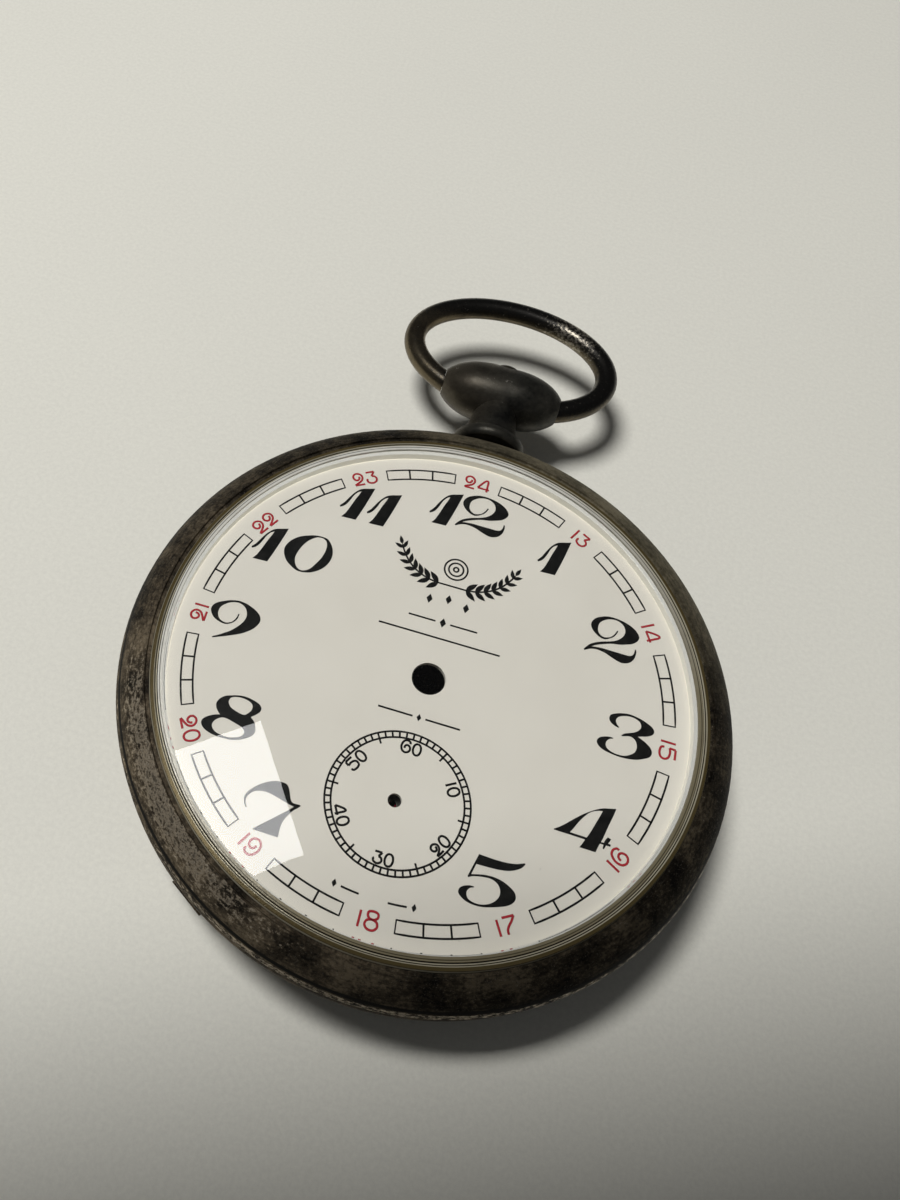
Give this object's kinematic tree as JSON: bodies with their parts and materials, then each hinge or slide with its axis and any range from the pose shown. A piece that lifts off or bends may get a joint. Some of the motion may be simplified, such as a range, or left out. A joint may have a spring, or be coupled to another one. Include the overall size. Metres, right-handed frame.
{
  "type": "pocket watch",
  "caption": "Open-face pocket watch with snap bezel and back, domed crystal, printed 24-hour dial with sub-seconds, pendant, swinging bow and a hand-wound lever movement.",
  "frame": {"origin": "centre of the case back's flat face, on the watch's axis", "axes": "+Z out through the crystal, +Y towards the pendant at 12 o'clock, +X towards 3 o'clock"},
  "size_m": [0.0484, 0.0669, 0.0113],
  "materials": {
    "case_nickel": "tarnished nickel silver, worn bright in patches",
    "crystal": "clear domed acrylic glass, faintly scratched",
    "dark_patina": "almost black oxidised metal with brown wear",
    "bow_patina": "black oxidised wire with brassy wear on its underside",
    "dial_face": "silvery white lacquered dial, satin",
    "print_black": "black printed numerals and lines, matte",
    "print_red": "red printed numerals, matte",
    "nickel_plate": "nickel-plated brass with fine stripes",
    "brass": "gilt brass",
    "steel": "polished steel",
    "blued_steel": "heat-blued steel",
    "ruby": "polished synthetic ruby"
  },
  "bodies": {
    "case": {"case_middle": "case_nickel", "pendant": "dark_patina", "stem_tube": "dark_patina", "case_screws": "steel", "dial": "dial_face", "mainplate": "nickel_plate", "barrel_bridge": "nickel_plate", "train_bridge": "nickel_plate", "balance_cock": "nickel_plate", "pallet_bridge": "nickel_plate", "bridge_screws": "blued_steel", "plate_jewels": "ruby", "bridge_jewels": "ruby", "balance_cap": "steel", "crown_wheel_core": "steel", "click_spring": "steel", "hairspring": "blued_steel", "hairspring_stud": "steel", "motion_posts": "steel", "keyless_screws": "steel", "yoke_spring": "steel", "setting_lever_spring": "steel"},
    "bezel": {"bezel": "case_nickel", "crystal": "crystal"},
    "case_back": {"case_back": "case_nickel"},
    "bow": {"bow": "bow_patina"},
    "barrel": {"barrel": "brass", "barrel_lid": "brass", "mainspring": "blued_steel"},
    "ratchet": {"barrel_arbor": "steel", "ratchet_wheel": "steel", "ratchet_screw": "steel"},
    "crown_wheel": {"crown_wheel": "steel"},
    "click": {"click": "steel"},
    "centre": {"centre_wheel": "brass", "centre_pinion": "steel", "cannon_pinion": "steel"},
    "third": {"third_wheel": "brass", "third_pinion": "steel"},
    "fourth": {"fourth_wheel": "brass", "fourth_pinion": "steel"},
    "escape": {"escape_wheel": "steel", "escape_pinion": "steel"},
    "pallet": {"pallet_fork": "steel", "pallet_staff": "steel", "pallet_stones": "ruby"},
    "balance": {"balance_wheel": "brass", "balance_screws": "brass", "balance_staff": "steel", "roller": "steel", "impulse_jewel": "ruby"},
    "regulator": {"regulator": "steel"},
    "hour": {"hour_wheel": "brass"},
    "minute": {"minute_wheel": "brass"},
    "setting_wheel": {"setting_wheel": "steel"},
    "winding_pinion": {"winding_pinion": "steel"},
    "stem": {"stem": "steel"},
    "clutch": {"clutch": "steel"},
    "setting_lever": {"setting_lever": "steel"},
    "yoke": {"yoke": "steel"}
  },
  "joints": [
    {"name": "bezel_off", "type": "slide", "parent": "case", "child": "bezel", "axis": [0, 0, 1], "range_m": [0, 0.008]},
    {"name": "back_off", "type": "slide", "parent": "case", "child": "case_back", "axis": [0, 0, -1], "range_m": [0, 0.008]},
    {"name": "bow_swing", "type": "hinge", "parent": "case", "child": "bow", "pos_m": [0, 0.0312, 0.0056], "axis": [1, 0, 0], "range_deg": [-140, 140]},
    {"name": "third_turn", "type": "hinge", "parent": "case", "child": "third", "pos_m": [0.00345, -0.0058, 0.005], "axis": [0, 0, 1], "continuous": true},
    {"name": "centre_turn", "type": "hinge", "parent": "case", "child": "centre", "pos_m": [0, 0, 0.005], "axis": [0, 0, 1], "continuous": true},
    {"name": "barrel_turn", "type": "hinge", "parent": "case", "child": "barrel", "pos_m": [0.00769, 0.00444, 0.005], "axis": [0, 0, 1], "continuous": true},
    {"name": "fourth_turn", "type": "hinge", "parent": "case", "child": "fourth", "pos_m": [-0.00014, -0.01, 0.005], "axis": [0, 0, 1], "continuous": true},
    {"name": "escape_turn", "type": "hinge", "parent": "case", "child": "escape", "pos_m": [-0.00471, -0.0116, 0.005], "axis": [0, 0, 1], "continuous": true},
    {"name": "minute_turn", "type": "hinge", "parent": "case", "child": "minute", "pos_m": [0, 0.0036, 0.005], "axis": [0, 0, 1], "continuous": true},
    {"name": "hour_turn", "type": "hinge", "parent": "case", "child": "hour", "pos_m": [0, 0, 0.005], "axis": [0, 0, 1], "continuous": true},
    {"name": "setting_wheel_turn", "type": "hinge", "parent": "case", "child": "setting_wheel", "pos_m": [0, 0.00885, 0.005], "axis": [0, 0, 1], "continuous": true},
    {"name": "ratchet_turn", "type": "hinge", "parent": "case", "child": "ratchet", "pos_m": [0.00769, 0.00444, 0.005], "axis": [0, 0, 1], "continuous": true},
    {"name": "crown_wheel_turn", "type": "hinge", "parent": "case", "child": "crown_wheel", "pos_m": [0, 0.0112, 0.005], "axis": [0, 0, 1], "continuous": true},
    {"name": "stem_turn", "type": "hinge", "parent": "case", "child": "winding_pinion", "pos_m": [0, 0.015, 0.0056], "axis": [0, 1, 0], "continuous": true},
    {"name": "stem_pull", "type": "slide", "parent": "winding_pinion", "child": "stem", "axis": [0, 1, 0], "range_m": [0, 0.0007]},
    {"name": "clutch_shift", "type": "slide", "parent": "winding_pinion", "child": "clutch", "axis": [0, -1, 0], "range_m": [0, 0.0007]},
    {"name": "setting_lever_turn", "type": "hinge", "parent": "case", "child": "setting_lever", "pos_m": [0.003, 0.0152, 0.005], "axis": [0, 0, 1], "range_deg": [-15, 0]},
    {"name": "yoke_turn", "type": "hinge", "parent": "case", "child": "yoke", "pos_m": [-0.0036, 0.012, 0.005], "axis": [0, 0, 1], "range_deg": [-13, 0]},
    {"name": "click_turn", "type": "hinge", "parent": "case", "child": "click", "pos_m": [0.0115, 0.01159, 0.005], "axis": [0, 0, 1], "range_deg": [-12, 0]},
    {"name": "pallet_beat", "type": "hinge", "parent": "case", "child": "pallet", "pos_m": [-0.00656, -0.00886, 0.005], "axis": [0, 0, 1], "range_deg": [-4, 4]},
    {"name": "balance_beat", "type": "hinge", "parent": "case", "child": "balance", "pos_m": [-0.00852, -0.00597, 0.005], "axis": [0, 0, 1], "range_deg": [-270, 270], "stiffness_Nm_per_rad": 0.0000004},
    {"name": "regulator_turn", "type": "hinge", "parent": "case", "child": "regulator", "pos_m": [-0.00852, -0.00597, 0.005], "axis": [0, 0, 1], "range_deg": [-12, 12]}
  ],
  "couplings": [
    {"joint": "centre_turn", "follows": "third_turn", "ratio": -0.125},
    {"joint": "barrel_turn", "follows": "third_turn", "ratio": 0.019231},
    {"joint": "fourth_turn", "follows": "third_turn", "ratio": -7.5},
    {"joint": "escape_turn", "follows": "third_turn", "ratio": 75},
    {"joint": "minute_turn", "follows": "third_turn", "ratio": 0.041667},
    {"joint": "hour_turn", "follows": "third_turn", "ratio": -0.010417},
    {"joint": "setting_wheel_turn", "follows": "third_turn", "ratio": -0.044118},
    {"joint": "crown_wheel_turn", "follows": "ratchet_turn", "ratio": -1.4286},
    {"joint": "stem_turn", "follows": "ratchet_turn", "ratio": -2.8571},
    {"joint": "clutch_shift", "follows": "stem_pull", "ratio": 1},
    {"joint": "setting_lever_turn", "follows": "stem_pull", "rad_per_m": -344.83},
    {"joint": "yoke_turn", "follows": "stem_pull", "rad_per_m": -277.78}
  ]
}
